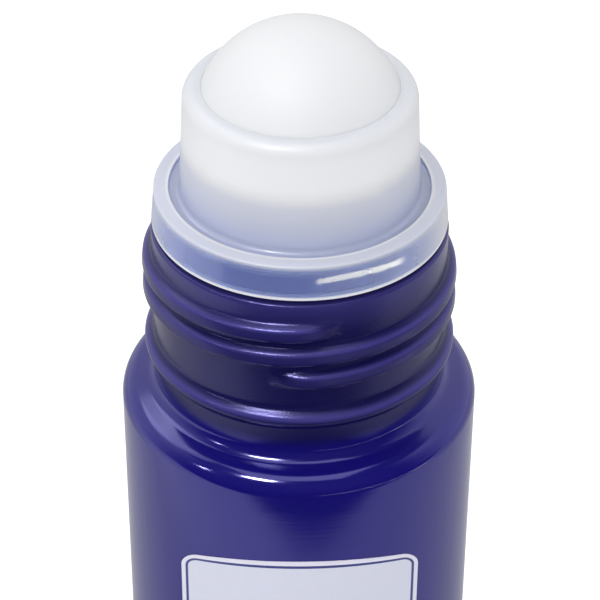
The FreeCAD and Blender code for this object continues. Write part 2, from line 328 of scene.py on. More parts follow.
@dataclass(frozen=True)
class BottlePlastic(Finish):
    """Deep indigo polyethylene, glossy with fine rings around the body and a fine grain on the neck. The
    neck is painted darker than the body as painted shade, and lighter on the upper sides of its ridges and
    at its top as painted light.
    """

    name: str = "indigo_polyethylene"
    colour: Colour = (0.0092, 0.0060, 0.176)
    deeper_colour: Colour = (0.0076, 0.0050, 0.150)
    shaded_neck_colour: Colour = (0.0062, 0.0052, 0.068)
    painted_light_colour: Colour = (0.050, 0.043, 0.230)
    body_roughness: Span = (0.10, 0.16)
    neck_roughness: Span = (0.19, 0.29)
    refraction: float = 1.60
    gloss: float = 0.90
    neck_gloss: float = 0.44
    gloss_tint: Colour = (0.50, 0.48, 1.0)
    neck_from: float = 59.5 * MM
    neck_to: float = 62.0 * MM
    neck_top: float = 81.5 * MM
    neck_top_blur: float = 0.3 * MM
    cloud_scale: Scale = (90.0, 90.0, 60.0)
    ring_scale: Scale = (70.0, 70.0, 3200.0)
    grain_scale: Scale = (5200.0, 5200.0, 5200.0)
    fine_detail: float = 1.0
    ring_strength: float = 0.09
    grain_strength: float = 0.34
    grain_depth: float = 0.05 * MM

    def material(self) -> bpy.types.Material:
        """Make the material.

        Returns:
            The material, with all its nodes.
        """
        material, nodes, place = new_material(self.name)
        height = nodes.add("ShaderNodeSeparateXYZ", {"Vector": place}).outputs["Z"]
        painted_light = nodes.add("ShaderNodeAttribute", attribute_name=PAINTED_LIGHT).outputs["Fac"]
        above = nodes.spread(height, 0.0, 1.0, self.neck_from, self.neck_to)
        below = nodes.spread(height, 1.0, 0.0, self.neck_top - self.neck_top_blur, self.neck_top)
        neck = nodes.combine("MULTIPLY", above, below)
        cloud = nodes.noise(place, self.cloud_scale)
        rings = nodes.noise(place, self.ring_scale, self.fine_detail)
        grain = nodes.noise(place, self.grain_scale, self.fine_detail)
        body_rings = nodes.spread(rings, *self.body_roughness)
        neck_grain = nodes.spread(grain, *self.neck_roughness)
        strength = nodes.blend(neck, self.ring_strength, self.grain_strength)
        body_tint = nodes.tint(cloud, self.colour, self.deeper_colour)
        # Painted shade and painted light: the neck is painted darker than the body, and lighter where its
        # painted light share is high.
        neck_tint = nodes.tint(painted_light, self.shaded_neck_colour, self.painted_light_colour)
        self.end(nodes, {
            "Base Color": nodes.tint(neck, body_tint, neck_tint),
            "Roughness": nodes.blend(neck, body_rings, neck_grain),
            "IOR": self.refraction,
            "Specular IOR Level": nodes.blend(neck, self.gloss, self.neck_gloss),
            "Specular Tint": (*self.gloss_tint, 1.0),
            "Normal": nodes.relief(nodes.blend(neck, rings, grain), strength, self.grain_depth),
        })
        return material


@dataclass(frozen=True)
class HousingPlastic(Finish):
    """Natural polyethylene: clear and milky in parts, softly glossy, with faint flow marks. Its clear parts
    are tinted blue, partly by the plastic's own bluish cast and partly by the bottle's blue showing through,
    painted in.
    """

    name: str = "natural_polyethylene"
    colour: Colour = (0.95, 0.96, 0.985)
    deeper_colour: Colour = (0.91, 0.93, 0.965)
    cast_and_bottle_blue: Colour = (0.43, 0.53, 1.0)
    milky_to: float = 0.15
    clear_from: float = 0.75
    milky_roughness: Span = (0.38, 0.48)
    clear_roughness: Span = (0.16, 0.24)
    skin_share: float = 0.55
    skin_roughness: float = 0.02
    refraction: float = 1.5
    flow_scale: Scale = (160.0, 160.0, 420.0)
    flow_detail: float = 3.0
    relief_strength: float = 0.06
    relief_depth: float = 0.05 * MM

    def material(self) -> bpy.types.Material:
        """Make the material.

        Returns:
            The material, with all its nodes.
        """
        material, nodes, place = new_material(self.name)
        flow = nodes.noise(place, self.flow_scale, self.flow_detail)
        clearness = nodes.add("ShaderNodeAttribute", attribute_name=CLEARNESS).outputs["Fac"]
        thinness = nodes.spread(clearness, 0.0, 1.0, self.milky_to, self.clear_from)
        skin = nodes.spread(clearness, 0.0, self.skin_share, self.milky_to, self.clear_from)
        milk = nodes.tint(flow, self.colour, self.deeper_colour)
        milky_flow = nodes.spread(flow, *self.milky_roughness)
        clear_flow = nodes.spread(flow, *self.clear_roughness)
        self.end(nodes, {
            # Milky white where the plastic is milky, which also carries the painted highlights and painted
            # light of the clearness; blue where it is clear, partly a bluish cast and partly the bottle's
            # blue showing through, painted in.
            "Base Color": nodes.tint(thinness, milk, self.cast_and_bottle_blue),
            "Roughness": nodes.blend(thinness, milky_flow, clear_flow),
            "Transmission Weight": clearness,
            "IOR": self.refraction,
            "Coat Weight": skin,
            "Coat Roughness": self.skin_roughness,
            "Coat IOR": self.refraction,
            "Normal": nodes.relief(flow, self.relief_strength, self.relief_depth),
        })
        return material


@dataclass(frozen=True)
class BallPlastic(Finish):
    """White polypropylene, ground to a satin gloss, with light that seeps a little way in."""

    name: str = "ground_polypropylene"
    colour: Colour = (0.815, 0.822, 0.842)
    deeper_colour: Colour = (0.795, 0.803, 0.825)
    roughness: Span = (0.50, 0.62)
    gloss: float = 0.35
    seep_share: float = 0.35
    seep_depth: float = 1.5 * MM
    seep_reach: Scale = (1.0, 1.0, 1.0)
    cloud_scale: Scale = (140.0, 140.0, 140.0)
    scratch_scale: Scale = (900.0, 4200.0, 4200.0)
    relief_strength: float = 0.05
    relief_depth: float = 0.02 * MM

    def material(self) -> bpy.types.Material:
        """Make the material.

        Returns:
            The material, with all its nodes.
        """
        material, nodes, place = new_material(self.name)
        cloud = nodes.noise(place, self.cloud_scale)
        scratches = nodes.noise(place, self.scratch_scale)
        self.end(nodes, {
            "Base Color": nodes.tint(cloud, self.colour, self.deeper_colour),
            "Roughness": nodes.spread(scratches, *self.roughness),
            "Specular IOR Level": self.gloss,
            "Subsurface Weight": self.seep_share,
            "Subsurface Scale": self.seep_depth,
            "Subsurface Radius": self.seep_reach,
            "Normal": nodes.relief(scratches, self.relief_strength, self.relief_depth),
        })
        return material


@dataclass(frozen=True)
class LabelInk(Finish):
    """One ink of the printed label film, under a thin clear coat."""

    roughness: Span = (0.38, 0.52)
    coat: float = 0.25
    coat_roughness: float = 0.4
    fibre_scale: Scale = (2600.0, 2600.0, 700.0)
    relief_strength: float = 0.05
    relief_depth: float = 0.02 * MM

    def material(self) -> bpy.types.Material:
        """Make the material.

        Returns:
            The material, with all its nodes.
        """
        material, nodes, place = new_material(self.name)
        fibres = nodes.noise(place, self.fibre_scale)
        self.end(nodes, {
            "Base Color": nodes.tint(fibres, self.colour, self.deeper_colour),
            "Roughness": nodes.spread(fibres, *self.roughness),
            "Coat Weight": self.coat,
            "Coat Roughness": self.coat_roughness,
            "Normal": nodes.relief(fibres, self.relief_strength, self.relief_depth),
        })
        return material


BORDER_INK = LabelInk("label_border", colour=(0.85, 0.84, 0.98), deeper_colour=(0.82, 0.81, 0.95))
LINE_INK = LabelInk("label_line", colour=(0.040, 0.055, 0.250), deeper_colour=(0.034, 0.047, 0.230))
FIELD_INK = LabelInk("label_field", colour=(0.76, 0.78, 0.91), deeper_colour=(0.73, 0.75, 0.89))


def round_off(mesh: bmesh.types.BMesh, corners: list[bmesh.types.BMVert], setback: float,
              steps: int) -> None:
    """Round corners of an outline.

    Args:
        mesh: The mesh with the outline.
        corners: The corners to round.
        setback: How far before a corner its rounding starts.
        steps: Number of sides that a rounding has.
    """
    bmesh.ops.bevel(mesh, geom=corners, offset=setback, offset_type="OFFSET", segments=steps,
                    profile=0.5, affect="VERTICES", material=-1)


class Section:
    """A half section in the XZ plane: drawn by its corners, rounded, and spun about the bottle's axis."""

    def __init__(self) -> None:
        """Start with nothing drawn."""
        self.mesh = bmesh.new()
        self.first: bmesh.types.BMVert | None = None
        self.last: bmesh.types.BMVert | None = None
        self.roundings: list[tuple[bmesh.types.BMVert, float, int]] = []

    def corner(self, across: float, up: float, rounding: float = 0.0, steps: int = 6) -> None:
        """Draw a straight side to a new corner.

        Args:
            across: Distance of the corner from the axis.
            up: Height of the corner.
            rounding: Radius of its rounding, or 0 for a sharp corner.
            steps: Number of sides that the rounding has.
        """
        corner = self.mesh.verts.new((across, 0.0, up))
        if self.last is None:
            self.first = corner
        else:
            self.mesh.edges.new((self.last, corner))
        self.last = corner
        if rounding > 0.0:
            self.roundings.append((corner, rounding, steps))

    def arc(self, across: float, up: float, angle: float, steps: int) -> None:
        """Sweep an arc from the last corner.

        Args:
            across: Distance of the arc's centre from the axis.
            up: Height of the arc's centre.
            angle: Turn from the last corner, counted from +Z to +X.
            steps: Number of sides that the arc has.
        """
        swept = bmesh.ops.spin(self.mesh, geom=[self.last], cent=(across, 0.0, up), axis=BACKWARD,
                               angle=angle, steps=steps)
        self.last = next(item for item in swept["geom_last"] if isinstance(item, bmesh.types.BMVert))

    def close(self) -> None:
        """Draw the last side, back to the first corner."""
        self.mesh.edges.new((self.last, self.first))

    def round_corners(self) -> None:
        """Bevel every corner that has a rounding."""
        for corner, radius, steps in self.roundings:
            before, after = (edge.other_vert(corner).co - corner.co for edge in corner.link_edges)
            round_off(self.mesh, [corner], radius / math.tan(before.angle(after) / 2), steps)

    def divide(self, length: float, low: float, high: float, clear: float = 0.0) -> None:
        """Divide long sides into short ones.

        Args:
            length: The longest side that is left.
            low: Height above which both ends of a side have to lie.
            high: Height below which both ends have to lie.
            clear: Distance from the axis beyond which both ends have to lie.
        """
        def lies_there(edge: bmesh.types.BMEdge) -> bool:
            """Whether both ends of a side lie between the heights and clear of the axis."""
            return all(low < end.co.z < high and end.co.x > clear for end in edge.verts)

        for edge in [edge for edge in self.mesh.edges if lies_there(edge)]:
            cuts = math.ceil(edge.calc_length() / length) - 1
            if cuts > 0:
                bmesh.ops.subdivide_edges(self.mesh, edges=[edge], cuts=cuts)

    def spin(self, steps: int) -> bmesh.types.BMesh:
        """Spin the section all the way round.

        Args:
            steps: Number of sides of the round.

        Returns:
            The closed mesh, with its faces pointing outwards.
        """
        drawn = self.mesh.verts[:] + self.mesh.edges[:]
        bmesh.ops.spin(self.mesh, geom=drawn, cent=Vector(), axis=UPRIGHT, angle=math.tau, steps=steps,
                       use_merge=True)
        bmesh.ops.remove_doubles(self.mesh, verts=self.mesh.verts, dist=MERGE_DISTANCE)
        bmesh.ops.recalc_face_normals(self.mesh, faces=self.mesh.faces)
        return self.mesh


def make_piece(mesh: bmesh.types.BMesh, name: str, node: Node, body: Body,
               finishes: list[bpy.types.Material]) -> bpy.types.Object:
    """Turn a finished mesh into a piece of the object.

    Args:
        mesh: The mesh, in its place in the frame. It is freed.
        name: Name of the piece.
        node: The node that the piece stands for.
        body: The body that it rides on.
        finishes: Its materials, in the order of the faces' material numbers.

    Returns:
        The piece.
    """
    for face in mesh.faces:
        face.smooth = True
    for edge in mesh.edges:
        edge.smooth = not edge.is_manifold or edge.calc_face_angle() < SHARP_ANGLE
    data = bpy.data.meshes.new(name)
    mesh.to_mesh(data)
    mesh.free()
    for finish in finishes:
        data.materials.append(finish)
    piece = bpy.data.objects.new(name, data)
    bpy.context.scene.collection.objects.link(piece)
    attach(piece, body.value)
    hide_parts(node.value)
    LOG.info("%s: %d faces, rides on %s", name, len(data.polygons), body.value)
    return piece


@dataclass
class Bottle:
    """The bottle: one hollow turned wall with a bead and a cap thread on its neck."""

    body_radius: float = 22.4 * MM
    body_height: float = 57.67 * MM
    body_wall: float = 1.2 * MM
    heel_round: float = 3.0 * MM
    foot_width: float = 2.4 * MM
    recess_height: float = 1.2 * MM
    recess_slope: float = 1.6 * MM
    recess_round: float = 0.8 * MM
    base_wall: float = 1.4 * MM
    shoulder_rise: float = 0.9 * MM
    shoulder_round: float = 2.4 * MM
    shoulder_wall: float = 1.5 * MM
    inner_shoulder_round: float = 1.2 * MM
    inner_root_round: float = 1.8 * MM
    neck_radius: float = 18.1 * MM
    neck_root_round: float = 1.6 * MM
    bead_height: float = 64.72 * MM
    bead_depth: float = 1.2 * MM
    bead_half_height: float = 1.4 * MM
    bead_half_crest: float = 0.5 * MM
    bead_round: float = 0.9 * MM
    ledge_height: float = 81.1715 * MM
    ledge_round: float = 0.4 * MM
    rim_radius: float = 17.1 * MM
    rim_height: float = 84.8015 * MM
    rim_round: float = 0.3 * MM
    bore_radius: float = 15.8 * MM
    thread_height: float = 70.5 * MM
    thread_pitch: float = 3.45 * MM
    thread_depth: float = 1.25 * MM
    thread_half_base: float = 1.3 * MM
    thread_half_crest: float = 0.75 * MM
    thread_lean: float = 0.18 * MM
    thread_start: float = math.radians(-10.0)
    thread_turns: float = 2.07
    thread_fade: float = math.radians(17.0)
    thread_softness: float = 0.20 * MM
    # Painted light on the neck: where the upper sides of the ridges and the top of the neck are painted
    # lighter.
    painted_light_radius: float = 18.5 * MM
    painted_light_blur: float = 0.5 * MM
    painted_light_slope: float = 0.5
    painted_light_height: float = 77.0 * MM
    painted_light_top: float = 0.55
    neck_row: float = 0.15 * MM
    body_row: float = 4.0 * MM
    heel_steps: int = 10
    shoulder_steps: int = 14
    root_steps: int = 12
    bead_steps: int = 8
    sides: int = 360

    def section(self) -> Section:
        """Draw the wall: outside from the base up to the rim, then inside back down.

        Returns:
            The half section, rounded and divided.
        """
        foot = self.body_radius - self.heel_round - self.foot_width
        recess = foot - self.recess_slope
        inner = self.body_radius - self.body_wall
        floor = self.recess_height + self.base_wall
        neck_foot = self.body_height + self.shoulder_rise
        bead = self.neck_radius + self.bead_depth
        drawn = Section()
        drawn.corner(0.0, self.recess_height)
        drawn.corner(recess, self.recess_height, self.recess_round)
        drawn.corner(foot, 0.0, self.recess_round)
        drawn.corner(self.body_radius, 0.0, self.heel_round, self.heel_steps)
        drawn.corner(self.body_radius, self.body_height, self.shoulder_round, self.shoulder_steps)
        drawn.corner(self.neck_radius, neck_foot, self.neck_root_round, self.root_steps)
        for across, offset in (
                (self.neck_radius, -self.bead_half_height),
                (bead, -self.bead_half_crest),
                (bead, self.bead_half_crest),
                (self.neck_radius, self.bead_half_height)):
            drawn.corner(across, self.bead_height + offset, self.bead_round, self.bead_steps)
        drawn.corner(self.neck_radius, self.ledge_height, self.ledge_round)
        drawn.corner(self.rim_radius, self.ledge_height)
        drawn.corner(self.rim_radius, self.rim_height, self.rim_round)
        drawn.corner(self.bore_radius, self.rim_height, self.rim_round)
        drawn.corner(self.bore_radius, neck_foot - self.shoulder_wall, self.inner_root_round)
        drawn.corner(inner, self.body_height - self.shoulder_wall, self.inner_shoulder_round)
        drawn.corner(inner, self.base_wall, self.heel_round - self.body_wall)
        drawn.corner(foot, self.base_wall, self.recess_round)
        drawn.corner(recess, floor, self.recess_round)
        drawn.corner(0.0, floor)
        drawn.round_corners()
        drawn.divide(self.body_row, 0.0, self.body_height, self.body_radius - self.body_wall / 2)
        drawn.divide(self.neck_row, self.bead_height, self.ledge_height, self.rim_radius)
        return drawn

    def soft_least(self, first: float, second: float) -> float:
        """The lesser of two lengths, with a soft bend where they cross."""
        return (first + second - math.hypot(first - second, self.thread_softness)) / 2

    def flank(self, offset: float) -> float:
        """Height of the full ridge above the neck, below zero beside it.

        Args:
            offset: Height above or below the middle of the ridge.

        Returns:
            The ridge's height: a crest that leans back a little, between two straight flanks.
        """
        run = self.thread_half_base - self.thread_half_crest
        back = (offset + self.thread_half_crest) / (2 * self.thread_half_crest)
        crest = self.thread_depth - self.thread_lean * back
        above = (self.thread_depth - self.thread_lean) * (self.thread_half_base - offset) / run
        below = self.thread_depth * (self.thread_half_base + offset) / run
        return self.soft_least(self.soft_least(above, below), crest)

    def ridge(self, angle: float, height: float) -> float:
        """Height of the thread above the neck at one place.

        Args:
            angle: Angle about the axis, from the front to the right.
            height: Height above the foot.

        Returns:
            How far the thread stands out there. Its ends sink into the neck.
        """
        length = self.thread_turns * math.tau
        best = 0.0
        for turn in range(math.ceil(self.thread_turns) + 1):
            along = angle - self.thread_start + turn * math.tau
            nearest_end = min(along, length - along)
            if nearest_end < 0.0:
                continue
            rise = min(nearest_end / self.thread_fade, 1.0)
            sunk = self.thread_depth * (1.0 - rise) ** 2
            middle = self.thread_height + self.thread_pitch * along / math.tau
            best = max(best, -self.soft_least(sunk - self.flank(height - middle), 0.0))
        return best

    def raise_thread(self, mesh: bmesh.types.BMesh) -> None:
        """Push the wall of the neck out where the thread runs.

        Args:
            mesh: The spun wall.
        """
        low, high = self.bead_height + self.bead_half_height, self.ledge_height - self.ledge_round
        for vert in mesh.verts:
            radius = math.hypot(vert.co.x, vert.co.y)
            if radius > self.rim_radius and low < vert.co.z < high:
                angle = math.atan2(vert.co.x, -vert.co.y)
                stretch = 1.0 + self.ridge(angle, vert.co.z) / radius
                vert.co.x *= stretch
                vert.co.y *= stretch
        mesh.normal_update()

    def painted_light(self, place: Vector, normal: Vector) -> float:
        """Find how much painted light a point of the neck gets: most on the upper sides of the ridges, which
        face up, and at the top of the neck.

        Args:
            place: A point of the wall.
            normal: The wall's direction there.

        Returns:
            The share of painted light.
        """
        out = ramp(math.hypot(place.x, place.y), self.painted_light_radius, self.painted_light_radius + self.painted_light_blur)
        upwards = ramp(normal.z, 0.0, self.painted_light_slope)
        level = ramp(normal.z, -self.painted_light_slope, 0.0)
        high = ramp(place.z, self.painted_light_height, self.ledge_height)
        return max(out * upwards, self.painted_light_top * level * high)

    def paint_light(self, mesh: bmesh.types.BMesh) -> None:
        """Note on every point how much painted light it gets.

        Args:
            mesh: The finished wall.
        """
        layer = mesh.verts.layers.float.new(PAINTED_LIGHT)
        for vert in mesh.verts:
            vert[layer] = self.painted_light(vert.co, vert.normal)

    def build(self, finish: BottlePlastic) -> bpy.types.Object:
        """Build and dress the bottle.

        Args:
            finish: Its plastic.

        Returns:
            The piece.
        """
        mesh = self.section().spin(self.sides)
        self.raise_thread(mesh)
        self.paint_light(mesh)
        finishes = [finish.material()]
        return make_piece(mesh, "bottle_wall", Node.BOTTLE, Body.BOTTLE, finishes)


@dataclass
class RollerBall:
    """The roller ball: a hollow ball in the middle of its cup."""

    radius: float = 12.7 * MM
    wall: float = 2.0 * MM
    height: float = 95.0776 * MM
    divisions: int = 6

    def build(self, finish: BallPlastic) -> bpy.types.Object:
        """Build and dress the ball.

        Args:
            finish: Its plastic.

        Returns:
            The piece.
        """
        mesh = bmesh.new()
        place = Matrix.Translation((0.0, 0.0, self.height))
        bmesh.ops.create_icosphere(mesh, subdivisions=self.divisions, radius=self.radius, matrix=place)
        bmesh.ops.solidify(mesh, geom=mesh.faces[:], thickness=self.wall)
        finishes = [finish.material()]
        return make_piece(mesh, "ball_shell", Node.BALL, Body.BALL, finishes)


@dataclass
class BallHousing:
    """The ball housing: skirt, flange, plug in the bore, tower, seat under the ball and lip over it."""

    ball: RollerBall
    bottle: Bottle
    clearance: float = 0.2 * MM
    lip_clearance: float = 0.02 * MM
    land_clearance: float = 0.03 * MM
    tower_wall: float = 0.95 * MM
    tower_draft: float = 0.65 * MM
    tower_foot_round: float = 0.6 * MM
    lip_angle: float = math.radians(23.0)
    lip_crown: float = 0.12 * MM
    lip_round: float = 1.6 * MM
    seat_angle: float = math.radians(43.6)
    seat_wall: float = 1.3 * MM
    seat_web: float = 1.7 * MM
    feed_radius: float = 5.0 * MM
    gutter_width: float = 1.32 * MM
    gutter_slope: float = 0.15 * MM
    gutter_depth: float = 0.4 * MM
    ring_width: float = 1.8 * MM
    ring_crown: float = 0.13 * MM
    ring_round: float = 0.2 * MM
    plate: float = 1.55 * MM
    skirt_draft: float = 0.38 * MM
    skirt_wall: float = 0.82 * MM
    skirt_gap: float = 0.64 * MM
    skirt_round: float = 0.25 * MM
    plug_wall: float = 1.25 * MM
    plug_clearance: float = 0.2 * MM
    plug_depth: float = 7.0 * MM
    plug_round: float = 0.5 * MM
    seal_drop: float = 3.0 * MM
    seal_half_height: float = 0.6 * MM
    seal_clearance: float = 0.05 * MM
    hem_glow_clearness: float = 0.0
    skirt_clearness: float = 0.75
    ring_clearness: float = 0.31
    ring_highlight_width: float = 0.3 * MM
    foot_clearness: float = 0.48
    low_tower_clearness: float = 0.24
    tower_clearness: float = 0.04
    lip_clearness: float = 0.25
    lip_depth: float = 2.2 * MM
    ring_power: int = 3
    side_sheen_share: float = 0.46
    side_sheen_power: int = 4
    side_sheen_lean: float = 0.09
    hem_glow_height: float = 0.45 * MM
    ball_leaves: float = 0.8 * MM
    ball_leaves_blur: float = 2.4 * MM
    row: float = 0.45 * MM
    lip_steps: int = 12
    arc_steps: int = 10
    sides: int = 256

    def cup(self) -> float:
        """Radius of the cup that the ball turns in."""
        return self.ball.radius + self.clearance

    def ring_inner(self) -> float:
        """Inner radius of the raised ring on the flange."""
        return self.cup() + self.tower_wall + self.tower_draft + self.gutter_width

    def section(self) -> Section:
        """Draw the moulding: from the skirt up over the lip, down the cup and round the plug.

        Returns:
            The half section, rounded and divided.
        """
        cup, ring_inner = self.cup(), self.ring_inner()
        middle = self.ball.height
        tower_top = cup + self.tower_wall
        tower_foot = tower_top + self.tower_draft
        ring_outer = ring_inner + self.ring_width
        skirt = ring_outer + self.skirt_draft
        skirt_bore = skirt - self.skirt_wall
        land, ledge = self.bottle.rim_height + self.land_clearance, self.bottle.ledge_height
        ring_height = self.bottle.rim_height + self.plate
        gutter = ring_height + self.ring_crown - self.gutter_depth
        lip = self.ball.radius + self.lip_clearance
        lip_height = middle + cup * math.sin(self.lip_angle)
        seat = middle - cup * math.sin(self.seat_angle)
        web = seat - self.seat_web
        under = cup + self.seat_wall
        feed_turn = math.acos(self.feed_radius / cup) - self.seat_angle
        under_angle = math.acos(self.feed_radius / under)
        under_turn = under_angle - math.asin((middle - web) / under)
        plug = self.bottle.bore_radius - self.plug_clearance
        plug_bore = plug - self.plug_wall
        plug_foot = ledge - self.plug_depth
        seal = ledge - self.seal_drop
        drawn = Section()
        drawn.corner(skirt, ledge + self.skirt_gap, self.skirt_round)
        drawn.corner(ring_outer, ring_height, self.ring_round)
        drawn.corner(ring_inner, ring_height + self.ring_crown, self.ring_round)
        drawn.corner(ring_inner - self.gutter_slope, gutter)
        drawn.corner(tower_foot, gutter, self.tower_foot_round)
        drawn.corner(tower_top, lip_height + self.lip_crown, self.lip_round, self.lip_steps)
        drawn.corner(lip * math.cos(self.lip_angle), middle + lip * math.sin(self.lip_angle))
        drawn.arc(0.0, middle, self.lip_angle, self.arc_steps)
        drawn.corner(cup, seat)
        drawn.corner(cup * math.cos(self.seat_angle), seat)
        drawn.arc(0.0, middle, feed_turn, self.arc_steps)
        drawn.corner(self.feed_radius, middle - under * math.sin(under_angle))
        drawn.arc(0.0, middle, -under_turn, self.arc_steps)
        drawn.corner(plug_bore, web)
        drawn.corner(plug_bore, plug_foot)
        drawn.corner(plug, plug_foot, self.plug_round)
        drawn.corner(plug, seal - self.seal_half_height)
        drawn.corner(self.bottle.bore_radius - self.seal_clearance, seal)
        drawn.corner(plug, seal + self.seal_half_height)
        drawn.corner(plug, land)
        drawn.corner(skirt_bore, land)
        drawn.corner(skirt_bore, ledge + self.skirt_gap)
        drawn.close()
        drawn.round_corners()
        drawn.divide(self.row, plug_foot - self.plug_round, lip_height + self.lip_crown)
        return drawn

    def clearness(self, across: float, aside: float, up: float) -> float:
        """Find how clear the plastic is: thin walls are clear and thick ones milky, with a painted highlight
        as a milky band along the hem and along the ring's inner edge, a painted reflection as milkier sides
        of the skirt, and painted light and shade on the tower.

        Args:
            across: Distance from the axis.
            aside: Distance from the plane through the axis that halves the bottle into left and right.
            up: Height above the foot.

        Returns:
            The share of the light that passes.
        """
        land = self.bottle.rim_height
        hem = self.bottle.ledge_height + self.skirt_gap + self.hem_glow_height
        ring = land + self.plate - self.ring_round
        ring_inner = self.ring_inner()
        if across > ring_inner:
            # Painted highlight: a milky band along the hem, as a bright line.
            if up < hem:
                return self.hem_glow_clearness
            share = ramp(up, land, ring)
            # Painted reflection: the skirt is painted milkier towards its sides, more on the right.
            sideways = aside / across
            painted_side_sheen = self.side_sheen_share * sideways ** self.side_sheen_power + self.side_sheen_lean * sideways
            skirt = self.skirt_clearness - painted_side_sheen
            # Painted highlight: the inner edge of the ring is painted milky.
            edge = share * (1.0 - ramp(across, ring_inner, ring_inner + self.ring_highlight_width))
            return (skirt + (self.ring_clearness - skirt) * share ** self.ring_power) * (1.0 - edge)
        # Painted light and painted shade: the tower is painted milkier where the lit ball lies behind it,
        # and clearer lower down, where the inside lies in shade.
        leaves = self.ball.height - self.ball_leaves
        step = ramp(leaves - up, 0.0, self.ball_leaves_blur)
        fall = ramp(leaves - up, 0.0, leaves - land)
        lip = self.ball.height + self.ball.radius * math.sin(self.lip_angle)
        rise = ramp(up, lip - self.lip_depth, lip)
        backed = self.tower_clearness + (self.low_tower_clearness - self.tower_clearness) * step
        backed += (self.lip_clearness - self.tower_clearness) * rise
        return backed + (self.foot_clearness - self.low_tower_clearness) * fall

    def clear_walls(self, mesh: bmesh.types.BMesh) -> None:
        """Note on every point how clear the plastic is there.

        Args:
            mesh: The spun moulding.
        """
        layer = mesh.verts.layers.float.new(CLEARNESS)
        for vert in mesh.verts:
            vert[layer] = self.clearness(math.hypot(vert.co.x, vert.co.y), vert.co.x, vert.co.z)

    def build(self, finish: HousingPlastic) -> bpy.types.Object:
        """Build and dress the housing.

        Args:
            finish: Its plastic.

        Returns:
            The piece.
        """
        mesh = self.section().spin(self.sides)
        self.clear_walls(mesh)
        finishes = [finish.material()]
        return make_piece(mesh, "housing_moulding", Node.HOUSING, Body.BOTTLE, finishes)


@dataclass
class FrontLabel:
    """The front label: a rounded film with an arched top and foot, a white border and a thin blue line."""

    bottle: Bottle
    half_chord: float = 14.85 * MM
    low: float = 9.0 * MM
    high: float = 45.7 * MM
    arch_rise: float = 3.42 * MM
    corner_round: float = 2.6 * MM
    border: float = 0.68 * MM
    line: float = 0.42 * MM
    thickness: float = 0.1 * MM
    glue: float = 0.03 * MM
    strip: float = 0.5 * MM
    straight_share: float = 0.4
    turn: float = math.radians(0.8)
    corner_steps: int = 10

    def outer(self) -> float:
        """Radius of the printed face."""
        return self.bottle.body_radius + self.glue + self.thickness

    def half_width(self) -> float:
        """Half the width of the flat film."""
        return self.outer() * math.asin(self.half_chord / self.outer())

    def half_height(self) -> float:
        """Half the height of the flat film."""
        return (self.high - self.low) / 2

    def middle(self) -> float:
        """Height of the film's middle."""
        return (self.low + self.high) / 2

    def flat(self) -> bmesh.types.BMesh:
        """Cut the flat film, unrolled, with its border, line and field as separate faces.

        Returns:
            The mesh, whose faces have material 0 on the border, 1 on the line and 2 on the field.
        """
        half_width = self.half_width()
        mesh = bmesh.new()
        place = Matrix.Translation((0.0, 0.0, self.middle())) @ Matrix.Rotation(math.radians(90.0), 4, "X")
        bmesh.ops.create_grid(mesh, x_segments=1, y_segments=1, size=1.0)
        bmesh.ops.scale(mesh, vec=(half_width, self.half_height(), 1.0), verts=mesh.verts)
        bmesh.ops.transform(mesh, matrix=place, verts=mesh.verts)
        round_off(mesh, mesh.verts[:], self.corner_round, self.corner_steps)
        for number, width in enumerate((self.border, self.line)):
            field = max(mesh.faces, key=lambda face: face.calc_area())
            rings = bmesh.ops.inset_region(mesh, faces=[field], thickness=width, use_boundary=True,
                                           use_even_offset=True)
            for face in rings["faces"]:
                face.material_index = number
            field.material_index = number + 1
        strips = math.ceil(half_width / self.strip)
        for number in range(1 - strips, strips):
            film = mesh.verts[:] + mesh.edges[:] + mesh.faces[:]
            cut = (half_width * number / strips, 0.0, 0.0)
            bmesh.ops.bisect_plane(mesh, geom=film, dist=MERGE_DISTANCE, plane_co=cut, plane_no=SIDEWAYS)
        return mesh

    def wrap(self, mesh: bmesh.types.BMesh) -> None:
        """Arch the top and the foot of the flat film and roll it onto the bottle.

        Args:
            mesh: The flat film.
        """
        outer, middle, half_height = self.outer(), self.middle(), self.half_height()
        arch_radius = (self.half_width() ** 2 + self.arch_rise ** 2) / (2 * self.arch_rise)
        for vert in mesh.verts:
            across, up = vert.co.x, vert.co.z - middle
            fall = arch_radius - math.sqrt(arch_radius ** 2 - across ** 2)
            share = ramp(abs(up) / half_height, self.straight_share, 1.0)
            angle = across / outer + self.turn
            vert.co = Vector((outer * math.sin(angle), -outer * math.cos(angle),
                              vert.co.z - math.copysign(fall * share, up)))
        bmesh.ops.recalc_face_normals(mesh, faces=mesh.faces)

    def build(self, border: LabelInk, line: LabelInk, field: LabelInk) -> bpy.types.Object:
        """Build and dress the label.

        Args:
            border: Ink of the border.
            line: Ink of the thin line inside it.
            field: Ink of the field.

        Returns:
            The piece.
        """
        mesh = self.flat()
        self.wrap(mesh)
        if sum(face.normal.y for face in mesh.faces) > 0.0:
            bmesh.ops.reverse_faces(mesh, faces=mesh.faces)
        bmesh.ops.solidify(mesh, geom=mesh.faces[:], thickness=self.thickness)
        inks = [ink.material() for ink in (border, line, field)]
        return make_piece(mesh, "label_print", Node.LABEL, Body.BOTTLE, inks)


